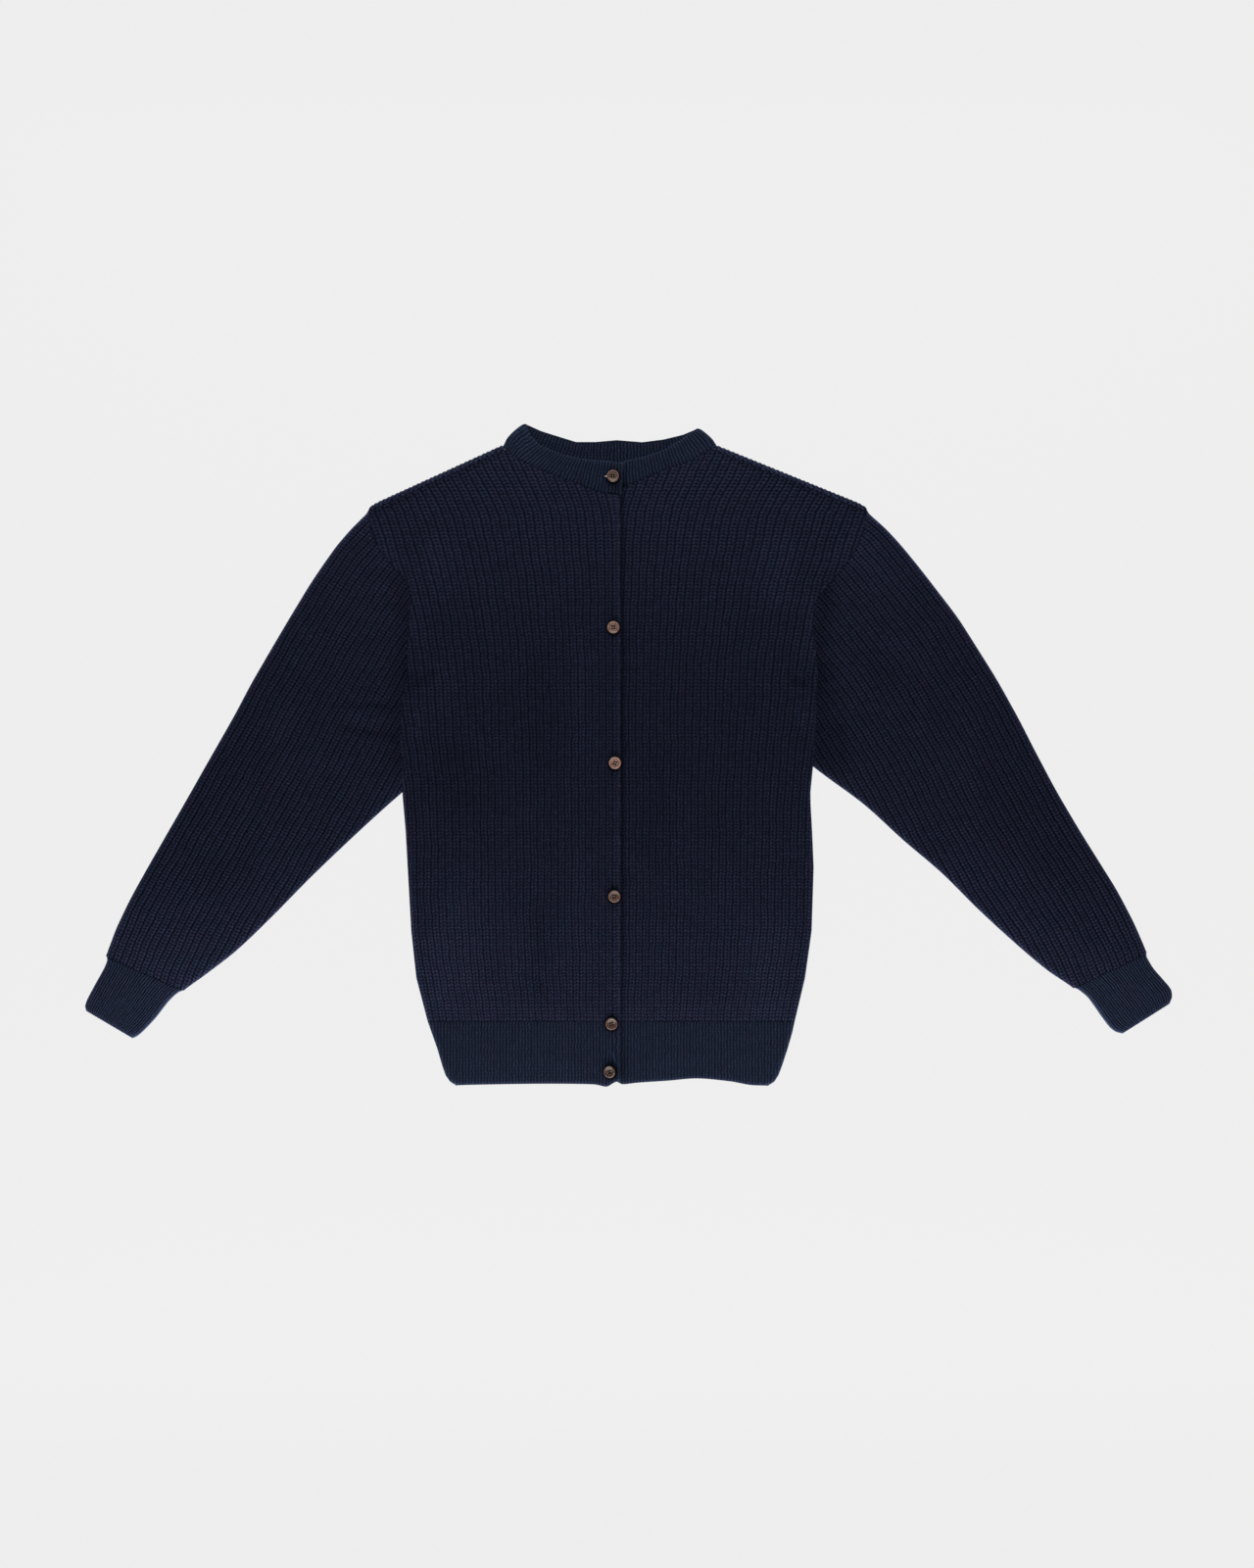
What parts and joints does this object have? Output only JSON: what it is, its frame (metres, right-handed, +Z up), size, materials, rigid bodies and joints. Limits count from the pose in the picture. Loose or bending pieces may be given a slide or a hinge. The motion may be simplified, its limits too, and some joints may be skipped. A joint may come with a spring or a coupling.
{
  "type": "cardigan",
  "caption": "Long-sleeved ribbed merino cardigan, buttoned up to a low round neckband and laid flat on its back, with a ribbed hem and cuffs.",
  "frame": {"origin": "under the middle of the laid-out cardigan's box, on the surface that it lies on", "axes": "+X along the spread sleeves towards the wearer's left cuff, +Y from the hem to the neck, +Z up out of the front"},
  "size_m": [1.0658, 0.6492, 0.0157],
  "materials": {
    "body_knit": "matt deep navy wool in a fine vertical rib",
    "rib_knit": "matt deep navy wool in a closer rib",
    "button_horn": "satin brown horn look"
  },
  "bodies": {
    "root": {"back": "body_knit", "back_hem_rib": "rib_knit", "front_right": "body_knit", "front_left": "body_knit", "front_right_hem_rib": "rib_knit", "front_left_hem_rib": "rib_knit", "sleeve_right": "body_knit", "sleeve_left": "body_knit", "cuff_right": "rib_knit", "cuff_left": "rib_knit", "neckband": "rib_knit", "button_1": "button_horn", "button_2": "button_horn", "button_3": "button_horn", "button_4": "button_horn", "button_5": "button_horn", "button_6": "button_horn"}
  },
  "joints": []
}
